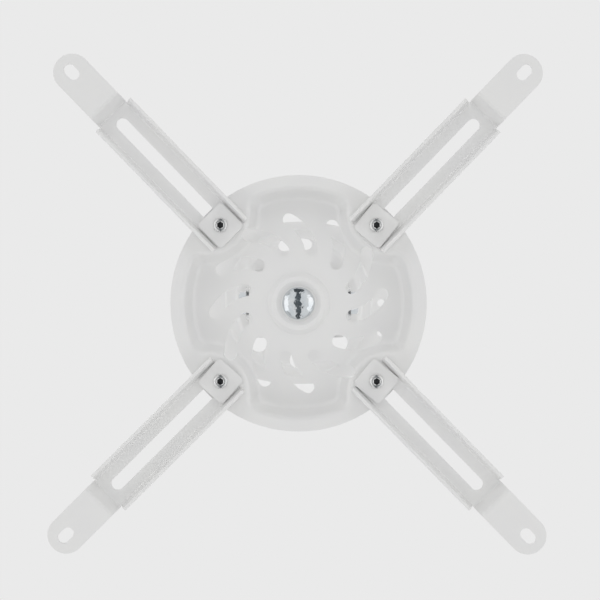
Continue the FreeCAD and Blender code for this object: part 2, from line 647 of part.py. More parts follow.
def make_tilt_parts(name, side):
    """One tilt bolt with its washers and nut, built along X."""
    sign = "" if side > 0 else "-"
    length = f"({TILT_HEAD_FACE} - {TILT_NUT_FACE} + nut_height + thread_end)"
    bolt = new_body(f"{name}_tilt_bolt")
    head = new_sketch(bolt, "XY_Plane")
    add_hexagon(head, "bolt_head_flats")
    pad(bolt, head, "bolt_head_rise")
    bevel_corners(bolt, "bolt_head_flats", "bolt_head_rise", "-")
    shaft = new_sketch(bolt, "XY_Plane")
    add_circle(shaft, "bolt_shank / 2")
    shank = pad(bolt, shaft, length, flipped=True)
    chamfer(bolt, shank, "bolt_shank * 0.1", lambda edge, middle: near(middle.z, -value(length)))
    washer = make_washer(f"{name}_tilt_washer", "washer_width", "(bolt_shank + 2 * bolt_play)",
                         "washer_sheet")
    friction = make_washer(f"{name}_friction_washer", "tilt_pad_width",
                           "(bolt_shank + 2 * bolt_play)", "tilt_pad_sheet")
    nut = make_lock_nut(f"{name}_tilt_nut", "bolt_head_flats", "nut_height", "bolt_shank")
    for piece, face, way in ((bolt, TILT_HEAD_FACE, side), (washer, UPPER_EAR_FACE, side),
                             (friction, TILT_PAD_FACE, side), (nut, TILT_NUT_FACE, -side)):
        lay_along_x(piece, way)
        set_place(piece, x=f"{sign}{face}", z=TILT_AXIS)


def add_station_outline(sketch, side, rounding, reach):
    """The corner region of a station: two straight sides joined by an arc, open outwards."""
    near_side, radius, far = value(side), value(rounding), value(reach)
    centre = near_side + radius
    arc = sketch.addGeometry(Part.ArcOfCircle(
        Part.Circle(FreeCAD.Vector(centre, centre, 0), UP, radius), math.pi, 1.5 * math.pi))
    low = sketch.addGeometry(Part.LineSegment(FreeCAD.Vector(centre, near_side, 0),
                                              FreeCAD.Vector(far, near_side, 0)))
    right = sketch.addGeometry(Part.LineSegment(FreeCAD.Vector(far, near_side, 0),
                                                FreeCAD.Vector(far, far, 0)))
    top = sketch.addGeometry(Part.LineSegment(FreeCAD.Vector(far, far, 0),
                                              FreeCAD.Vector(near_side, far, 0)))
    left = sketch.addGeometry(Part.LineSegment(FreeCAD.Vector(near_side, far, 0),
                                               FreeCAD.Vector(near_side, centre, 0)))
    for here, there in ((low, right), (right, top), (top, left)):
        sketch.addConstraint(Sketcher.Constraint("Coincident", here, 2, there, 1))
    sketch.addConstraint(Sketcher.Constraint("Tangent", arc, 2, low, 1))
    sketch.addConstraint(Sketcher.Constraint("Tangent", left, 2, arc, 1))
    hold_point(sketch, low, 2, reach, side)
    hold_point(sketch, right, 2, reach, reach)
    hold_point(sketch, left, 1, side, reach)
    hold(sketch, "Radius", (arc,), rounding)
    hold_point(sketch, arc, 3, f"{side} + {rounding}", f"{side} + {rounding}")


def make_recess_form(label, grow):
    """The solid form of the plate's recess from the rim face up, every wall moved out by grow."""
    body = new_body(label)
    spread = f"({grow} / cos(wall_lean))"
    bottom = new_sketch(body, "XY_Plane")
    add_circle(bottom, f"recess_radius + {spread}")
    height = f"(recess_depth + {grow})"
    cone = pad(body, bottom, height, taper="-wall_lean")
    top_level = value(height)
    station = new_sketch(body, "XY_Plane")
    add_station_outline(station, f"(station_side + {spread})", f"(station_round - {spread})",
                        "(plate_radius * 1.2)")
    notch = pocket(body, station, height, flipped=True, taper="wall_lean")
    notched = around(body, [notch], "4")

    def is_meeting(edge, middle):
        rises = abs(edge.Vertexes[0].Z - edge.Vertexes[-1].Z) > top_level / 2
        return rises and math.hypot(middle.x, middle.y) > value("recess_radius") * 0.85

    blended = fillet(body, notched, f"station_blend + {grow}", is_meeting)
    fillet(body, blended, f"floor_bend + {grow}", lambda edge, middle: near(middle.z, top_level))
    return body


def make_projector_plate():
    """The pressed dish: rim, stations, sloping walls, floor, ring bead, vents and holes."""
    outer = make_recess_form("plate_outside", "plate_sheet")
    inner = make_recess_form("plate_inside", "0")
    body = new_body("projector_plate")
    rim = new_sketch(body, "XY_Plane")
    add_circle(rim, "plate_radius")
    pad(body, rim, "plate_sheet")
    for tool, way in ((outer, "Fuse"), (inner, "Cut")):
        join = body.newObject("PartDesign::Boolean", "Boolean")
        join.addObjects([tool])
        join.Type = way
        body.Tip = join
    limit = value("plate_radius") - 0.5
    fillet(body, join, "rim_bend + plate_sheet", lambda edge, middle: (
        near(middle.z, 0) and near(edge.Vertexes[0].Z, 0) and math.hypot(middle.x, middle.y) < limit))

    ring = new_sketch(body, "XY_Plane", "recess_depth / 2")
    add_circle(ring, "bead_outer")
    add_circle(ring, "bead_inner")
    pocket(body, ring, "recess_depth + plate_sheet", flipped=True)
    crest_in = "((bead_inner + bead_outer - bead_crest) / 2)"
    crest_out = "((bead_inner + bead_outer + bead_crest) / 2)"
    foot, crest = "recess_depth", "(recess_depth - bead_height)"
    section = new_sketch(body, "XZ_Plane")
    add_outline(section, [("bead_inner", foot), (crest_in, crest), (crest_out, crest),
                          ("bead_outer", foot), ("bead_outer", f"{foot} + plate_sheet"),
                          (crest_out, f"{crest} + plate_sheet"), (crest_in, f"{crest} + plate_sheet"),
                          ("bead_inner", f"{foot} + plate_sheet")])
    bead = revolve(body, section)
    crest_level = value(crest)
    fillet(body, bead, "bead_height * 0.6", lambda edge, middle: (
        isinstance(edge.Curve, Part.Circle) and near(middle.z, crest_level)))

    vent = new_sketch(body, "XY_Plane")
    add_arc_slot(vent, "vent_arc", "vent_width", "(vent_bearing + vent_tail)",
                 "(vent_bearing + vent_lead)", "vent_throw * cos(vent_bearing)",
                 "vent_throw * sin(vent_bearing)")
    around(body, [pocket(body, vent)], "vent_count")
    screw = new_sketch(body, "XY_Plane")
    add_circle(screw, "clamp_shank / 2 + bolt_play", "pivot_pitch / 2", "pivot_pitch / 2")
    around(body, [pocket(body, screw)], "4")
    cut_square_hole(body, "bolt_shank")
    set_place(body, z=RIM_FACE)
    return [outer, inner]


def make_centre_parts():
    """The domed bolt under the plate, and the washers and nut above it."""
    neck = "(plate_sheet + centre_pad_sheet)"
    length = f"({CENTRE_NUT_UNDER} - {FLOOR_UNDER} + nut_height + thread_end)"
    bolt = make_dome_bolt("centre_bolt", "bolt_shank", "centre_head", "centre_head_rise", neck, length)
    set_place(bolt, z=FLOOR_UNDER)
    friction = make_washer("centre_friction_washer", "centre_pad_width",
                           "(bolt_shank * sqrt(2) + 2 * running_gap)", "centre_pad_sheet")
    set_place(friction, z=FLOOR_TOP)
    washer = make_washer("centre_washer", "washer_width", "(bolt_shank + 2 * bolt_play)", "washer_sheet")
    set_place(washer, z=CENTRE_WASHER_UNDER)
    nut = make_lock_nut("centre_nut", "bolt_head_flats", "nut_height", "bolt_shank")
    set_place(nut, z=CENTRE_NUT_UNDER)


def make_arm(label):
    """An arm along its own X, with the slot's first centre at its origin and the web on top."""
    body = new_body(label)
    web = new_sketch(body, "XY_Plane")
    half_web = "(arm_floor_half - 1)"
    add_outline(web, [("-web_start", half_web), ("-web_start", f"-{half_web}"),
                      ("jog_start", f"-{half_web}"), ("jog_start", half_web)])
    strip = pad(body, web, "arm_sheet", flipped=True)
    inner_end = -value("web_start")
    fillet(body, strip, "web_end_round", lambda edge, middle: (
        is_line_along(edge, UP) and near(middle.x, inner_end)))

    section = new_sketch(body, "YZ_Plane", "-flange_start")
    lean_run = "((flange_height - arm_sheet) * tan(flange_lean))"
    thick = "(arm_sheet / cos(flange_lean))"
    skew = "(arm_sheet * tan(flange_lean))"
    foot = "arm_floor_half"
    tip = f"({foot} + {lean_run})"
    right = [(f"{foot} - {skew} + {thick}", "0"), (f"{tip} + {thick}", "-flange_height"),
             (tip, "-flange_height"), (foot, "-arm_sheet")]
    left = [(f"-({y})", z) for y, z in reversed(right)]
    add_outline(section, right + left)
    channel = pad(body, section, "flange_start + flange_stop")
    foot_at, tip_at = value(foot), value(tip)
    top_at = value(f"{foot} - {skew} + {thick}")
    web_under, flange_tip = -value("arm_sheet"), -value("flange_height")
    inner = fillet(body, channel, "arm_bend", lambda edge, middle: (
        is_line_along(edge, ALONG_X) and near(abs(middle.y), foot_at) and near(middle.z, web_under)))
    outer = fillet(body, inner, "arm_bend + arm_sheet", lambda edge, middle: (
        is_line_along(edge, ALONG_X) and near(abs(middle.y), top_at) and near(middle.z, 0)))
    fillet(body, outer, "flange_tip_round", lambda edge, middle: (
        is_line_along(edge, ALONG_X) and near(middle.z, flange_tip) and abs(middle.y) >= tip_at - 0.01))

    profile = new_sketch(body, "XZ_Plane")
    lean = "(tab_offset / jog_run)"
    rise = f"(arm_sheet * (sqrt(1 + {lean}^2) - 1) / {lean})"
    jog_stop = "(jog_start + jog_run)"
    start = "(flange_stop - arm_sheet)"
    add_outline(profile, [(start, "0"), (f"jog_start + {rise}", "0"),
                          (f"{jog_stop} + {rise}", "-tab_offset"), ("tab_end", "-tab_offset"),
                          ("tab_end", "-tab_offset - arm_sheet"), (jog_stop, "-tab_offset - arm_sheet"),
                          ("jog_start", "-arm_sheet"), (start, "-arm_sheet")])
    tongue = pad(body, profile, "tab_width", symmetric=True)
    y_axis = FreeCAD.Vector(0, 1, 0)
    corners = ((value(f"jog_start + {rise}"), 0.0), (value(jog_stop), value("-tab_offset - arm_sheet")))
    hollows = ((value("jog_start"), -value("arm_sheet")),
               (value(f"{jog_stop} + {rise}"), -value("tab_offset")))
    soft = fillet(body, tongue, "arm_bend + arm_sheet", lambda edge, middle: (
        is_line_along(edge, y_axis) and any(near(middle.x, x) and near(middle.z, z) for x, z in corners)))
    tight = fillet(body, soft, "arm_bend", lambda edge, middle: (
        is_line_along(edge, y_axis) and any(near(middle.x, x) and near(middle.z, z) for x, z in hollows)))
    tab_end = value("tab_end")
    fillet(body, tight, "tab_width / 2 - 0.05", lambda edge, middle: (
        is_line_along(edge, UP) and near(middle.x, tab_end)))

    slot = new_sketch(body, "XY_Plane")
    add_slot(slot, "slot_width", "0", "slot_run")
    pocket(body, slot)
    hole = new_sketch(body, "XY_Plane")
    spread = "(tab_hole_length - tab_hole_width) / 2"
    add_slot(hole, "tab_hole_width", f"tab_hole_place - {spread}", f"tab_hole_place + {spread}")
    pocket(body, hole)
    return body


def make_clamp_plate(label):
    """A square plate that lies in the arm's channel, its upper edges chamfered."""
    body = new_body(label)
    sketch = new_sketch(body, "XY_Plane")
    side = "(clamp_side / 2)"
    add_outline(sketch, [(side, side), (f"-{side}", side), (f"-{side}", f"-{side}"), (side, f"-{side}")])
    block = pad(body, sketch, "clamp_sheet", flipped=True)
    soft = fillet(body, block, "clamp_round", lambda edge, middle: is_line_along(edge, UP))
    chamfer(body, soft, "clamp_chamfer", lambda edge, middle: near(middle.z, 0))
    bore = new_sketch(body, "XY_Plane")
    add_circle(bore, "clamp_shank / 2 + running_gap")
    pocket(body, bore)
    return body


def make_clamp_screw(label):
    """A socket-head screw, head below its own XY plane and shank above."""
    body = new_body(label)
    head = new_sketch(body, "XY_Plane")
    add_circle(head, "clamp_head / 2")
    block = pad(body, head, "clamp_head_rise", flipped=True)
    chamfer(body, block, "clamp_head * 0.05",
            lambda edge, middle: near(middle.z, -value("clamp_head_rise")))
    shaft = new_sketch(body, "XY_Plane")
    add_circle(shaft, "clamp_shank / 2")
    length = f"({RIM_FACE} + plate_sheet - {CLAMP_HEAD_TOP} + clamp_nut_height + thread_end)"
    pad(body, shaft, length)
    socket = new_sketch(body, "XY_Plane", "-clamp_head_rise")
    add_hexagon(socket, "clamp_socket")
    pocket(body, socket, "clamp_socket_depth", flipped=True)
    return body


def make_clamp_nut(label):
    """A flanged hexagon nut standing on its own XY plane."""
    body = new_body(label)
    flange = new_sketch(body, "XY_Plane")
    add_circle(flange, "clamp_nut_collar / 2")
    pad(body, flange, "clamp_nut_collar_sheet")
    hexagon = new_sketch(body, "XY_Plane")
    add_hexagon(hexagon, "clamp_nut_flats")
    pad(body, hexagon, "clamp_nut_height")
    bore = new_sketch(body, "XY_Plane")
    add_circle(bore, "clamp_shank / 2 + running_gap")
    pocket(body, bore)
    return body


# Corners: sides along X and Y, and how far arm and clamp plate sit turned from the diagonal
CORNERS = [("front_left", -1, -1, 0.85, 0.0), ("front_right", 1, -1, -0.95, -6.0),
           ("back_left", -1, 1, 0.15, -3.4), ("back_right", 1, 1, 0.6, -5.6)]


def make_corner(name, x_side, y_side, arm_turn, clamp_turn):
    """Arm, clamp plate, screw and nut of one station, the arm pointing out near the diagonal."""
    diagonal = math.degrees(math.atan2(y_side, x_side))
    bearing = diagonal + arm_turn
    pivot_x = f"{x_side} * pivot_pitch / 2"
    pivot_y = f"{y_side} * pivot_pitch / 2"
    arm = make_arm(f"{name}_arm")
    set_turn(arm, UP, str(bearing))
    set_place(arm, f"{pivot_x} - {name}_in * cos({bearing})", f"{pivot_y} - {name}_in * sin({bearing})",
              ARM_TOP)
    clamp = make_clamp_plate(f"{name}_clamp_plate")
    set_turn(clamp, UP, str(diagonal + clamp_turn))
    set_place(clamp, pivot_x, pivot_y, CLAMP_TOP)
    screw = make_clamp_screw(f"{name}_clamp_screw")
    set_place(screw, pivot_x, pivot_y, CLAMP_HEAD_TOP)
    nut = make_clamp_nut(f"{name}_clamp_nut")
    set_place(nut, pivot_x, pivot_y, f"{RIM_FACE} + plate_sheet")


def make_yokes():
    """The upper yoke hangs from the swivel bolt, and the lower one stands on the plate."""
    upper = make_yoke("upper_yoke", UPPER_EAR_INSIDE, UPPER_WEB_TOP, "(bolt_shank + 2 * bolt_play)",
                      "(swivel_shank + 2 * running_gap)")
    upper.Placement.Rotation = FreeCAD.Rotation(ALONG_X, 180)
    set_place(upper, z=UPPER_WEB_TOP)
    lower = make_yoke("lower_yoke", LOWER_EAR_INSIDE, LOWER_WEB_UNDER,
                      "(bolt_shank + 2 * running_gap)", "(bolt_shank + 2 * running_gap)")
    set_place(lower, z=LOWER_WEB_UNDER)


make_ceiling_plate()
make_swivel_parts()
make_yokes()
for tilt_name, tilt_side in (("left", -1), ("right", 1)):
    make_tilt_parts(tilt_name, tilt_side)
forms = make_projector_plate()
make_centre_parts()
for corner in CORNERS:
    make_corner(*corner)
doc.recompute()

for item in doc.Objects:
    if "Invalid" in item.State or "Error" in item.State:
        raise RuntimeError(f"{item.Label} did not build: {item.State}")

os.makedirs("parts", exist_ok=True)
for piece in doc.Objects:
    if piece.TypeId != "PartDesign::Body" or piece in forms:
        continue
    shape = piece.Shape
    if shape.isNull() or not shape.isValid() or len(shape.Solids) != 1:
        raise RuntimeError(f"{piece.Label} is not one valid solid")
    shape.exportStep(f"parts/{piece.Label}.step")
    print(piece.Label, round(shape.Volume, 1), len(shape.Faces))
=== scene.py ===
import json
import math

import bmesh
import bpy
from mathutils import Matrix, Vector


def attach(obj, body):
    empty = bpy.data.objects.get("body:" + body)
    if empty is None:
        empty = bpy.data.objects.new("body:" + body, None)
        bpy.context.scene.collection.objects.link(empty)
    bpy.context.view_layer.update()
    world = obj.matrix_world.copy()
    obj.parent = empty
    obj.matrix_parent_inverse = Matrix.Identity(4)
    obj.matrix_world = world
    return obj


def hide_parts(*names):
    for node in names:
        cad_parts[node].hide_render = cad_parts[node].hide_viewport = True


# Projector ceiling mount, seen from straight below as it hangs. Sizes of the mount are in
# millimetres until MM turns them into the scene's metres. The stage's own sizes are in metres.
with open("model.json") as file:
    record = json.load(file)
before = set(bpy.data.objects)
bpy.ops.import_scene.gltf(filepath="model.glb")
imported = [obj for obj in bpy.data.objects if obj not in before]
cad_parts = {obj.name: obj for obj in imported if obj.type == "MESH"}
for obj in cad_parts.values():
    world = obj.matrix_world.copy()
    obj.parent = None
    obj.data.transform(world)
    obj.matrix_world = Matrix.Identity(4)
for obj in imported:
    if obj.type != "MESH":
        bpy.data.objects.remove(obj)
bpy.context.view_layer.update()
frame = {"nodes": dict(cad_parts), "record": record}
MM = 0.001
MM_PER_METRE = 1000

# Levels and sizes of the model that the added pieces fit
HAT_FLOOR_TOP = -12.0
SWIVEL_NUT_TOP = -20.1
TILT_AXIS = -58.0
TILT_HEAD_FACE = 27.65
TILT_NUT_FACE = 19.95
FLOOR_UNDER = -111.0
CENTRE_NUT_UNDER = -103.8
CLAMP_HEAD_TOP = -123.95
STATION_TOP = -118.0
PIVOT_SPACING = 76.8
M8_NUT_HEIGHT = 8.0
M6_NUT_HEIGHT = 6.0
M4_NUT_HEIGHT = 3.2
PAST_NUT = 1.4
CORNER_NAMES = ("front_left", "front_right", "back_left", "back_right")

# How the added meshes are made: points in a circle, the angle in degrees from which an edge is
# sharp, and the distance within which points are one
AROUND = 96
SHARP_EDGE = 32.0
WELD = 1e-4


def linear(code):
    """An sRGB hex value as the linear colour that the nodes take."""
    channels = [int(code[i:i + 2], 16) / 255 for i in (1, 3, 5)]
    return [c / 12.92 if c <= 0.04045 else ((c + 0.055) / 1.055) ** 2.4 for c in channels] + [1.0]


def node(tree, kind, settings=None, **inputs):
    """Adds a node. Settings are its properties, and inputs are values or sockets to link.

    An input is named, with _ for a space, or given by number, as in0 or in1.
    """
    made = tree.nodes.new(kind)
    for key, setting in (settings or {}).items():
        setattr(made, key, setting)
    for key, given in inputs.items():
        name = key.replace("_", " ")
        numbered = name.startswith("in") and name[2:].isdigit()
        socket = made.inputs[int(name[2:]) if numbered else name]
        if isinstance(given, bpy.types.NodeSocket):
            tree.links.new(given, socket)
        else:
            socket.default_value = given
    return made


def new_material(name):
    """A node material, with its tree and its shader."""
    material = bpy.data.materials.new(name)
    material.use_nodes = True
    tree = material.node_tree
    return material, tree, tree.nodes["Principled BSDF"]


def mottled(tree, coords, size_mm, first, second, low, high, detail=2.0):
    """Soft patches of two values. size_mm is the width of one patch."""
    noise = node(tree, "ShaderNodeTexNoise", Vector=coords, Scale=MM_PER_METRE / size_mm,
                 Detail=detail, Roughness=0.5)
    ramp = node(tree, "ShaderNodeMapRange", Value=noise.outputs["Fac"], in1=low, in2=high,
                in3=first, in4=second)
    return ramp.outputs["Result"]


def two_toned(tree, shader, coords, size_mm, first, second, low, high, detail=2.0):
    """Colours the shader in soft patches of two near tones, given as hex values."""
    patches = mottled(tree, coords, size_mm, 0.0, 1.0, low, high, detail)
    tint = node(tree, "ShaderNodeMix", {"data_type": "RGBA"}, Factor=patches, in6=linear(first),
                in7=linear(second))
    tree.links.new(tint.outputs[2], shader.inputs["Base Color"])


def bumped(tree, shader, height, strength, depth_mm):
    """Gives the shader a bump from a height."""
    bump = node(tree, "ShaderNodeBump", Strength=strength, Distance=depth_mm * MM, Height=height)
    tree.links.new(bump.outputs["Normal"], shader.inputs["Normal"])


def powder_coated_steel():
    """White polyester powder coat, baked on pressed steel: satin, with a faint orange peel."""
    material, tree, shader = new_material("powder_coated_steel_white_satin")
    coords = node(tree, "ShaderNodeTexCoord").outputs["Object"]
    two_toned(tree, shader, coords, 22.0, "#DFDFDF", "#E1E1E0", 0.3, 0.7)
    gloss = mottled(tree, coords, 9.0, 0.40, 0.47, 0.3, 0.7)
    tree.links.new(gloss, shader.inputs["Roughness"])
    peel = node(tree, "ShaderNodeTexNoise", Vector=coords, Scale=MM_PER_METRE / 1.6, Detail=1.0,
                Roughness=0.4)
    grit = node(tree, "ShaderNodeTexNoise", Vector=coords, Scale=MM_PER_METRE / 0.45, Detail=0.0)
    both = node(tree, "ShaderNodeMath", {"operation": "MULTIPLY_ADD"}, in0=grit.outputs["Fac"],
                in1=0.2, in2=peel.outputs["Fac"])
    bumped(tree, shader, both.outputs[0], strength=0.25, depth_mm=0.007)
    shader.inputs["IOR"].default_value = 1.5
    return material


def zinc_plated_steel(name, dark, pale, smooth, rough, wave):
    """Zinc plating: the hexes of its cloudy film, its roughness range and its waviness in mm."""
    material, tree, shader = new_material(name)
    coords = node(tree, "ShaderNodeTexCoord").outputs["Object"]
    two_toned(tree, shader, coords, 5.0, dark, pale, 0.35, 0.65, detail=3.0)
    gloss = mottled(tree, coords, 1.2, smooth, rough, 0.3, 0.7)
    tree.links.new(gloss, shader.inputs["Roughness"])
    waves = node(tree, "ShaderNodeTexNoise", Vector=coords, Scale=MM_PER_METRE / 2.3, Detail=1.2)
    bumped(tree, shader, waves.outputs["Fac"], strength=1.0, depth_mm=wave)
    shader.inputs["Metallic"].default_value = 1.0
    return material


def natural_nylon():
    """Moulded nylon, undyed: milky off-white, a little translucent, with a fine matt skin."""
    material, tree, shader = new_material("natural_nylon_moulded")
    coords = node(tree, "ShaderNodeTexCoord").outputs["Object"]
    two_toned(tree, shader, coords, 6.0, "#D8D5C9", "#E0DED5", 0.3, 0.7)
    skin = node(tree, "ShaderNodeTexNoise", Vector=coords, Scale=MM_PER_METRE / 0.3, Detail=1.0)
    bumped(tree, shader, skin.outputs["Fac"], strength=0.2, depth_mm=0.02)
    shader.inputs["Roughness"].default_value = 0.5
    shader.inputs["Subsurface Weight"].default_value = 0.08
    shader.inputs["Subsurface Radius"].default_value = (0.0008, 0.0007, 0.0006)
    return material


def socket_painted_shade():
    """The inside of a forged socket: zinc coloured near black as painted shade for the shadow deep
    in its hollow, with a little of the oil from the heading tool.
    """
    material, tree, shader = new_material("zinc_plated_socket_painted_shade")
    coords = node(tree, "ShaderNodeTexCoord").outputs["Object"]
    two_toned(tree, shader, coords, 0.8, "#2B2D2F", "#414346", 0.35, 0.65)
    shader.inputs["Roughness"].default_value = 0.42
    shader.inputs["Metallic"].default_value = 0.4
    return material


WHITE_COAT = powder_coated_steel()
# Bright and bluish on the domed and hexagon heads, and duller on barrelled small parts
ZINC = zinc_plated_steel("zinc_plated_steel_blue_passivated", "#D3D9DD", "#DEE1E3",
                         smooth=0.10, rough=0.18, wave=0.27)
DULL_ZINC = zinc_plated_steel("zinc_plated_steel_barrelled_dull", "#DEDFDF", "#E8E8E7",
                              smooth=0.24, rough=0.32, wave=0.1)
NYLON = natural_nylon()
# Painted shade: near-black zinc for the insides of the screw sockets, standing in for the shade in
# their hollows
PAINTED_SHADE_SOCKET = socket_painted_shade()
FINISH_OF_SLOT = {"white_steel": WHITE_COAT, "zinc_steel": ZINC, "nylon": NYLON}


def vertex_ring(mesh, level, radius):
    """Vertices round the axis at a level, radius a number or a function of the angle."""
    ring = []
    for i in range(AROUND):
        angle = 2 * math.pi * i / AROUND
        reach = radius(angle) if callable(radius) else radius
        ring.append(mesh.verts.new((reach * math.cos(angle), reach * math.sin(angle), level)))
    return ring


def join_rings(mesh, lower, upper):
    """Faces between two rings of vertices."""
    for i in range(AROUND):
        j = (i + 1) % AROUND
        mesh.faces.new((lower[i], lower[j], upper[j], upper[i]))


def turned(rows):
    """A closed solid from rows of (level, radius).

    The rows are joined in order, and the first and the last are closed at the axis.
    """
    mesh = bmesh.new()
    rings = [vertex_ring(mesh, level, radius) for level, radius in rows]
    for lower, upper in zip(rings, rings[1:]):
        join_rings(mesh, lower, upper)
    for ring, level in ((rings[0], rows[0][0]), (rings[-1], rows[-1][0])):
        pole = mesh.verts.new((0, 0, level))
        for i in range(AROUND):
            mesh.faces.new((ring[i], ring[(i + 1) % AROUND], pole))
    return mesh


def spun_ring(section):
    """A ring from a closed section of (radius, level) points."""
    mesh = bmesh.new()
    rings = [vertex_ring(mesh, level, radius) for radius, level in section]
    for k, ring in enumerate(rings):
        join_rings(mesh, ring, rings[(k + 1) % len(rings)])
    return mesh


def finished(mesh, name, material, seat=None):
    """Turns a bmesh in millimetres into an object in metres, its mesh moved to the seat."""
    bmesh.ops.remove_doubles(mesh, verts=mesh.verts, dist=WELD)
    bmesh.ops.recalc_face_normals(mesh, faces=mesh.faces)
    for face in mesh.faces:
        face.smooth = True
    for edge in mesh.edges:
        if len(edge.link_faces) == 2 and edge.calc_face_angle() > math.radians(SHARP_EDGE):
            edge.smooth = False
    mesh.transform(Matrix.Scale(MM, 4) @ (seat or Matrix.Identity(4)))
    data = bpy.data.meshes.new(name)
    mesh.to_mesh(data)
    mesh.free()
    data.materials.append(material)
    made = bpy.data.objects.new(name, data)
    bpy.context.scene.collection.objects.link(made)
    return made


def seat_at(x=0.0, y=0.0, z=0.0, facing=(0, 0, 1)):
    """A placement whose own +Z points the way given."""
    turn = Vector((0, 0, 1)).rotation_difference(Vector(facing)).to_matrix().to_4x4()
    return Matrix.Translation((x, y, z)) @ turn


def hexagon(flats, limit=None):
    """Radius round a hexagon with corners at 30 degrees, cut to a circle where one is given."""
    def radius(angle):
        off = (angle + math.radians(30)) % math.radians(60) - math.radians(30)
        flat_side = flats / 2 / math.cos(off)
        return min(flat_side, limit) if limit else flat_side
    return radius


def square(side):
    """Radius round a square with its corners at 45 degrees."""
    def radius(angle):
        off = (angle + math.radians(45)) % math.radians(90) - math.radians(45)
        return side / 2 / math.cos(off)
    return radius


def knurled(radius, depth, ridges):
    """Radius round a straight-knurled head."""
    def reach(angle):
        return radius - depth * (0.5 - 0.5 * math.cos(angle * ridges))
    return reach


def thread_rows(start, end, radius, pitch):
    """Rows of a rolled thread from one level to another, with a bevelled end."""
    depth = 0.61 * pitch
    rows_a_turn = 8
    crest, flank = 1.25, 3.2
    count = math.ceil((end - start) / (pitch / rows_a_turn))
    rows = []
    for k in range(count + 1):
        level = start + (end - start) * k / count

        def reach(angle, level=level):
            turn = (level / pitch - angle / (2 * math.pi)) % 1.0
            wave = min(1.0, max(0.0, crest - abs(turn - 0.5) * flank))
            bevel = radius - 0.9 * depth + (end - level)
            fade = min(1.0, (level - start) / pitch)
            return min(radius - depth * fade * (1 - wave), bevel)
        rows.append((level, reach))
    return rows


def dome_rows(radius, rise, land):
    """Rows of a domed head that points down from level 0, with a straight land at its rim."""
    crown = rise - land
    ball = (radius ** 2 + crown ** 2) / (2 * crown)
    spread = math.asin(radius / ball)
    steps = 14
    rows = []
    for k in range(1, steps + 1):
        angle = spread * k / steps
        rows.append((-rise + ball * (1 - math.cos(angle)), ball * math.sin(angle)))
    rows += [(-land * 0.45, radius), (-land * 0.12, radius - 0.04), (0, radius - 0.22)]
    return rows


def carriage_bolt_rows(shank, head, rise, neck, length, pitch, thread):
    """A bolt with a domed head, a square neck and a threaded end, thread being its length."""
    thread_from = length - thread
    rows = dome_rows(head / 2, rise, land=0.5)
    rows += [(0.0, square(shank)), (neck, square(shank)), (neck + 0.3, shank / 2),
             (thread_from, shank / 2)]
    rows += thread_rows(thread_from, length, shank / 2, pitch)
    return rows


def hex_bolt_rows(shank, flats, rise, length, pitch, thread):
    """A hexagon head with a bevelled crown, and a shank that points down from level 0."""
    thread_from = length - thread
    face = flats * 0.475
    corner = flats / 2 / math.cos(math.radians(30))
    bevel_slope = 0.58
    rows = [(rise, flats * 0.42), (rise, face)]
    rows += [(rise - (limit - face) * bevel_slope, hexagon(flats, limit))
             for limit in (flats * 0.5, flats * 0.52, flats * 0.545, corner)]
    rows += [(0.35, hexagon(flats)), (0.3, face), (0.0, face), (0.0, shank / 2),
             (-thread_from, shank / 2)]
    upright = thread_rows(thread_from, length, shank / 2, pitch)
    return rows + [(-level, reach) for level, reach in upright]


def socket_screw_rows(shank, head, rise, socket, socket_depth, length, pitch, thread):
    """A socket-head screw with a knurled head below level 0 and its shank above.

    The rows start at the socket's bottom, go out over its mouth and round the head's edge.
    """
    thread_from = length - thread
    edge = knurled(head / 2, depth=0.09, ridges=24)
    bottom = -rise
    mouth = socket / 2 / math.cos(math.radians(30))
    crest, round_off, steps = mouth + 0.3, 1.0, 8
    rows = [(bottom + socket_depth + 0.5, 0.05), (bottom + socket_depth, socket / 2 * 0.9),
            (bottom + socket_depth, hexagon(socket)), (bottom + 0.25, hexagon(socket)),
            (bottom + 0.1, mouth + 0.06), (bottom, crest)]
    for k in range(1, steps + 1):
        turn = math.radians(90 * k / steps)
        rows.append((bottom + round_off * (1 - math.cos(turn)),
                     crest + (head / 2 - 0.1 - crest) * math.sin(turn)))
    rows += [(bottom + round_off + 0.15, edge), (-0.45, edge), (-0.3, head / 2 - 0.09),
             (0.0, head / 2 - 0.12), (0.0, shank / 2), (thread_from, shank / 2)]
    return rows + thread_rows(thread_from, length, shank / 2, pitch)


def insert_ring(inner, outer, low, high):
    """The nylon ring in a locking nut, its top crowned where the collar is rolled over it."""
    return spun_ring([(inner, low), (outer, low), (outer, high - 0.1), (outer - 0.15, high),
                      ((inner + outer) / 2, high + 0.08), (inner + 0.12, high - 0.05),
                      (inner, high - 0.2)])


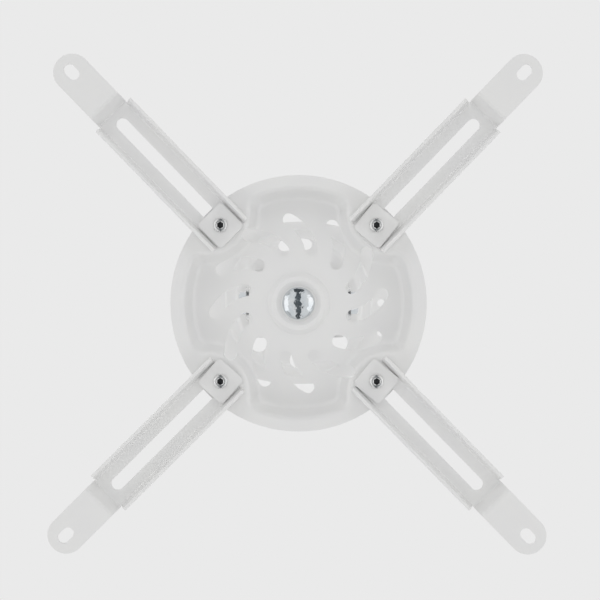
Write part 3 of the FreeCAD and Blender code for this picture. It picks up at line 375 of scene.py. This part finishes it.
def stations_tree(name):
    """Geometry nodes that copy one small piece over the four stations and colour its socket dark
    as painted shade.

    Returns the tree and the identifiers of its inputs by name.
    """
    tree = bpy.data.node_groups.new(name + "_on_stations", "GeometryNodeTree")
    face = tree.interface
    face.new_socket("Geometry", in_out="INPUT", socket_type="NodeSocketGeometry")
    identifiers = {}
    for title, kind in (("Station spacing", "Float"), ("Seat level", "Float"),
                        ("Screw or nut", "Object"), ("Finish", "Material"),
                        ("Socket from level", "Float"), ("Socket radius", "Float"),
                        ("Socket finish", "Material")):
        socket = face.new_socket(title, in_out="INPUT", socket_type="NodeSocket" + kind)
        identifiers[title] = socket.identifier
    face.new_socket("Geometry", in_out="OUTPUT", socket_type="NodeSocketGeometry")
    given = node(tree, "NodeGroupInput").outputs

    stations = node(tree, "GeometryNodeMeshGrid", Size_X=given["Station spacing"],
                    Size_Y=given["Station spacing"], Vertices_X=2, Vertices_Y=2)
    lift = node(tree, "ShaderNodeCombineXYZ", Z=given["Seat level"])
    seated = node(tree, "GeometryNodeTransform", Geometry=stations.outputs["Mesh"],
                  Translation=lift.outputs["Vector"])
    source = node(tree, "GeometryNodeObjectInfo", Object=given["Screw or nut"])
    copies = node(tree, "GeometryNodeInstanceOnPoints", Points=seated.outputs["Geometry"],
                  Instance=source.outputs["Geometry"])
    real = node(tree, "GeometryNodeRealizeInstances", Geometry=copies.outputs["Instances"])
    painted = node(tree, "GeometryNodeSetMaterial", Geometry=real.outputs["Geometry"],
                   Material=given["Finish"])

    # Painted shade: the socket's faces, those near a station's axis between two levels, take the
    # dark socket material
    position = node(tree, "GeometryNodeInputPosition").outputs[0]
    spot = node(tree, "ShaderNodeSeparateXYZ", Vector=position)
    half = node(tree, "ShaderNodeMath", {"operation": "MULTIPLY"}, in0=given["Station spacing"],
                in1=0.5)
    off_axis = []
    for axis in ("X", "Y"):
        size = node(tree, "ShaderNodeMath", {"operation": "ABSOLUTE"}, in0=spot.outputs[axis])
        off = node(tree, "ShaderNodeMath", {"operation": "SUBTRACT"}, in0=size.outputs[0],
                   in1=half.outputs[0])
        off_axis.append(off.outputs[0])
    aside = node(tree, "ShaderNodeCombineXYZ", X=off_axis[0], Y=off_axis[1])
    radius = node(tree, "ShaderNodeVectorMath", {"operation": "LENGTH"}, in0=aside.outputs[0])
    within = node(tree, "FunctionNodeCompare", {"operation": "LESS_THAN"},
                  in0=radius.outputs["Value"], in1=given["Socket radius"])
    above = node(tree, "FunctionNodeCompare", {"operation": "GREATER_THAN"},
                 in0=spot.outputs["Z"], in1=given["Socket from level"])
    below = node(tree, "FunctionNodeCompare", {"operation": "LESS_THAN"}, in0=spot.outputs["Z"],
                 in1=given["Seat level"])
    between = node(tree, "FunctionNodeBooleanMath", in0=above.outputs[0], in1=below.outputs[0])
    hollow = node(tree, "FunctionNodeBooleanMath", in0=within.outputs[0], in1=between.outputs[0])
    shade_painted = node(tree, "GeometryNodeSetMaterial", Geometry=painted.outputs["Geometry"],
                 Selection=hollow.outputs[0], Material=given["Socket finish"])
    node(tree, "NodeGroupOutput", Geometry=shade_painted.outputs["Geometry"])
    return tree, identifiers


def screws_on_stations(name, template, level, socket_level, socket_radius, replaced):
    """Copies of one small piece over the four stations, as one piece on the projector's body."""
    tree, identifiers = stations_tree(name)
    holder = bpy.data.objects.new(name + "_holder", bpy.data.meshes.new(name + "_holder"))
    bpy.context.scene.collection.objects.link(holder)
    modifier = holder.modifiers.new("stations", "NODES")
    modifier.node_group = tree
    for title, given in (("Station spacing", PIVOT_SPACING * MM), ("Seat level", level * MM),
                         ("Screw or nut", template), ("Finish", template.data.materials[0]),
                         # The socket's faces take the dark material that paints the shade in its
                         # hollow
                         ("Socket from level", socket_level * MM),
                         ("Socket radius", socket_radius * MM), ("Socket finish", PAINTED_SHADE_SOCKET)):
        modifier[identifiers[title]] = given
    evaluated = holder.evaluated_get(bpy.context.evaluated_depsgraph_get())
    data = bpy.data.meshes.new_from_object(evaluated)
    holder.modifiers.remove(modifier)
    made = bpy.data.objects.new(name, data)
    bpy.context.scene.collection.objects.link(made)
    bpy.data.objects.remove(holder)
    bpy.data.objects.remove(template)
    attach(made, "projector_head")
    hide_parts(*replaced)
    return made


def add_bolts():
    """The bolts and screws, with the necks, bevels, knurls and threads that real ones have."""
    swivel_length = 17.5
    rows = carriage_bolt_rows(shank=8.0, head=20.0, rise=4.8, neck=3.5, length=swivel_length,
                              pitch=1.25, thread=4.0)
    swivel = finished(turned(rows), "swivel_bolt_threaded", ZINC,
                      seat_at(z=HAT_FLOOR_TOP, facing=(0, 0, -1)))
    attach(swivel, "ceiling_group")
    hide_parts("swivel_bolt")

    centre_length = CENTRE_NUT_UNDER - FLOOR_UNDER + M6_NUT_HEIGHT + PAST_NUT
    rows = carriage_bolt_rows(shank=6.0, head=16.2, rise=3.9, neck=3.0, length=centre_length,
                              pitch=1.0, thread=3.4)
    centre = finished(turned(rows), "centre_bolt_threaded", ZINC, seat_at(z=FLOOR_UNDER))
    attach(centre, "projector_head")
    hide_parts("centre_bolt")

    tilt_length = TILT_HEAD_FACE - TILT_NUT_FACE + M6_NUT_HEIGHT + PAST_NUT
    for name, side in (("left", -1), ("right", 1)):
        rows = hex_bolt_rows(shank=6.0, flats=10.0, rise=4.0, length=tilt_length, pitch=1.0,
                             thread=3.4)
        bolt = finished(turned(rows), f"{name}_tilt_bolt_threaded", ZINC,
                        seat_at(x=side * TILT_HEAD_FACE, z=TILT_AXIS, facing=(side, 0, 0)))
        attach(bolt, "neck")
        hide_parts(f"{name}_tilt_bolt")

    screw_length = STATION_TOP - CLAMP_HEAD_TOP + M4_NUT_HEIGHT + PAST_NUT
    rows = socket_screw_rows(shank=4.0, head=7.0, rise=4.0, socket=3.0, socket_depth=2.4,
                             length=screw_length, pitch=0.7, thread=2.6)
    screw = finished(turned(rows), "clamp_screw_pattern", DULL_ZINC)
    # Inside each screw head, the faces within 1.8 mm of its axis are coloured dark as painted
    # shade
    made = screws_on_stations("clamp_screws_knurled", screw, level=CLAMP_HEAD_TOP,
                              socket_level=CLAMP_HEAD_TOP - 3.8, socket_radius=1.8,
                              replaced=[f"{corner}_clamp_screw" for corner in CORNER_NAMES])


def add_nut_inserts():
    """The nylon rings in the grooves of the four locking nuts."""
    nuts = [("swivel", 4.0, M8_NUT_HEIGHT, "ceiling_group",
             seat_at(z=SWIVEL_NUT_TOP, facing=(0, 0, -1))),
            ("centre", 3.0, M6_NUT_HEIGHT, "projector_head", seat_at(z=CENTRE_NUT_UNDER))]
    for name, side in (("left", -1), ("right", 1)):
        nuts.append((f"{name}_tilt", 3.0, M6_NUT_HEIGHT, "neck",
                     seat_at(x=side * TILT_NUT_FACE, z=TILT_AXIS, facing=(-side, 0, 0))))
    for name, shank_radius, height, body, seat in nuts:
        section = insert_ring(inner=shank_radius + 0.02, outer=shank_radius + 0.88,
                              low=height - 1.08, high=height - 0.12)
        ring = finished(section, f"{name}_nut_insert", NYLON, seat)
        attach(ring, body)


def dress_frame():
    """Gives every node of the model its finish, the duller zinc on washers and nuts."""
    record = frame["record"]
    slot_of = {part["node"]: part["material_slot"] for part in record["subparts"]}
    for name, shown in frame["nodes"].items():
        finish = FINISH_OF_SLOT[slot_of[name]]
        if finish is ZINC and name.endswith(("washer", "nut")):
            finish = DULL_ZINC
        shown.data.materials.clear()
        shown.data.materials.append(finish)


add_bolts()
add_nut_inserts()
dress_frame()

# Stage: floor, lamps, background, camera. The mount hangs over the floor, and the camera looks
# straight up at it from below. The camera's sizes are in millimetres, the others in metres.
CAMERA_LENS = 100.0
SENSOR = 36.0
PHOTO_WIDTH = 296.4
ARM_FACE = -121.9
VIEW_X, VIEW_Y = 0.74, -1.63
FLOOR_LEVEL = -1.35
FLOOR_REACH = 8
BACKDROP = "#EAEAEA"


def stage_sheet(name, corners, material):
    """A flat stage piece from its four corners."""
    data = bpy.data.meshes.new(name)
    data.from_pydata(corners, [], [(0, 1, 2, 3)])
    data.materials.append(material)
    sheet = bpy.data.objects.new(name, data)
    bpy.context.scene.collection.objects.link(sheet)
    return sheet


def add_floor(tone, bounce):
    """A pale floor. Reflections see it as bright as the backdrop, and the light that it sends up
    to the mount is even, at the strength given.
    """
    material, tree, shader = new_material("pale_floor")
    shader.inputs["Base Color"].default_value = linear(tone)
    shader.inputs["Roughness"].default_value = 0.9
    path = node(tree, "ShaderNodeLightPath").outputs
    glow_level = node(tree, "ShaderNodeMapRange", Value=path["Is Glossy Ray"], in3=bounce, in4=1.0)
    glow = node(tree, "ShaderNodeEmission", Color=linear(tone),
                Strength=glow_level.outputs["Result"])
    mix = node(tree, "ShaderNodeMixShader", Fac=path["Is Camera Ray"], in1=glow.outputs[0],
               in2=shader.outputs[0])
    material.cycles.emission_sampling = "NONE"
    tree.links.new(mix.outputs[0], tree.nodes["Material Output"].inputs["Surface"])
    reach, level = FLOOR_REACH, FLOOR_LEVEL
    stage_sheet("floor", [(-reach, -reach, level), (reach, -reach, level),
                          (reach, reach, level), (-reach, reach, level)], material)


def add_dark_flag():
    """A dark strip below the camera with an upright panel at each end, which only metal
    reflects and nothing else sees.
    """
    material, tree, shader = new_material("dark_flag_cloth")
    shader.inputs["Base Color"].default_value = linear("#50565A")
    shader.inputs["Roughness"].default_value = 1.0
    low, high, near_end, far_end = -1.02, -0.14, -1.5, 1.7
    strip_near, strip_far, near_panel, far_panel = 0.28, 0.26, 0.6, 0.3
    for name, corners in (
            ("flag_strip", [(-strip_near, near_end, low), (strip_near, near_end, low),
                            (strip_far, far_end, low), (-strip_far, far_end, low)]),
            ("flag_near_panel", [(-near_panel, near_end, low), (near_panel, near_end, low),
                                 (near_panel, near_end, high), (-near_panel, near_end, high)]),
            ("flag_far_panel", [(-far_panel, far_end, low), (far_panel, far_end, low),
                                (far_panel, far_end, high), (-far_panel, far_end, high)])):
        flag = stage_sheet(name, corners, material)
        flag.visible_camera = flag.visible_diffuse = flag.visible_shadow = False
        flag.visible_transmission = False


def add_world(strength, overhead, backdrop):
    """Soft light from all round, stronger overhead, and a pale backdrop for the camera and for
    reflections.
    """
    world = bpy.data.worlds.new("studio")
    bpy.context.scene.world = world
    world.use_nodes = True
    world.cycles.sampling_method = "NONE"
    tree = world.node_tree
    tree.nodes.clear()
    path = node(tree, "ShaderNodeLightPath").outputs
    seen = node(tree, "ShaderNodeMath", {"operation": "MAXIMUM"}, in0=path["Is Camera Ray"],
                in1=path["Is Transmission Ray"])
    seen = node(tree, "ShaderNodeMath", {"operation": "MAXIMUM"}, in0=seen.outputs[0],
                in1=path["Is Glossy Ray"])
    direction = node(tree, "ShaderNodeTexCoord").outputs["Generated"]
    way = node(tree, "ShaderNodeSeparateXYZ", Vector=direction)
    full_overhead = 0.35
    level = node(tree, "ShaderNodeMapRange", Value=way.outputs["Z"], in1=0.0, in2=full_overhead,
                 in3=strength, in4=overhead)
    light = node(tree, "ShaderNodeBackground", Color=linear("#FFFFFF"),
                 Strength=level.outputs["Result"])
    pale = node(tree, "ShaderNodeBackground", Color=linear(backdrop), Strength=1.0)
    mix = node(tree, "ShaderNodeMixShader", Fac=seen.outputs[0], in1=light.outputs[0],
               in2=pale.outputs[0])
    node(tree, "ShaderNodeOutputWorld", Surface=mix.outputs[0])


def add_lamp(name, where, size, power, aim_level=ARM_FACE, reflected=False):
    """A soft lamp aimed at the mount's axis, at a level in millimetres. Power is in watts."""
    data = bpy.data.lights.new(name, "AREA")
    data.shape = "RECTANGLE"
    data.size, data.size_y = size
    data.energy = power
    lamp = bpy.data.objects.new(name, data)
    lamp.location = where
    aim = Vector((0, 0, aim_level * MM)) - Vector(where)
    lamp.rotation_euler = aim.to_track_quat("-Z", "Y").to_euler()
    lamp.visible_camera = False
    lamp.visible_glossy = reflected
    bpy.context.scene.collection.objects.link(lamp)


def add_lamps():
    """Weak softboxes that metal reflects, unreflected fills, and small lamps above the plate
    that light the gap under the ceiling.
    """
    for name, side in (("left", -1), ("right", 1)):
        add_lamp(f"{name}_softbox", where=(side * 1.0, 0.0, -0.48), size=(1.5, 0.55), power=1.1,
                 reflected=True)
        add_lamp(f"{name}_fill", where=(side * 0.95, 0.0, -0.6), size=(1.7, 0.75), power=2.7)
        add_lamp(f"{name}_gap_fill", where=(side * 0.22, 0.0, -0.1), size=(0.36, 0.03),
                 power=0.07, aim_level=0.0)
    for name, end in (("front", -1), ("back", 1)):
        add_lamp(f"{name}_fill", where=(0.0, end * 0.95, -0.6), size=(0.9, 0.5), power=2.6)
        add_lamp(f"{name}_gap_fill", where=(0.0, end * 0.22, -0.1), size=(0.36, 0.03),
                 power=0.05, aim_level=0.0)
    add_lamp("under_fill", where=(0.0, 0.0, -1.27), size=(0.9, 0.9), power=4.0)


def add_camera():
    """A long lens straight below the arms, with PHOTO_WIDTH in view at their faces."""
    data = bpy.data.cameras.new("camera")
    data.lens, data.sensor_width = CAMERA_LENS, SENSOR
    camera = bpy.data.objects.new("camera", data)
    distance = PHOTO_WIDTH * CAMERA_LENS / SENSOR
    camera.location = (VIEW_X * MM, VIEW_Y * MM, (ARM_FACE - distance) * MM)
    camera.rotation_euler = (math.pi, 0, 0)
    bpy.context.scene.collection.objects.link(camera)
    bpy.context.scene.camera = camera


add_floor(BACKDROP, bounce=0.36)
add_dark_flag()
add_world(strength=0.28, overhead=0.9, backdrop=BACKDROP)
add_lamps()
add_camera()
bpy.context.scene.view_settings.view_transform = "Standard"

bpy.context.view_layer.update()
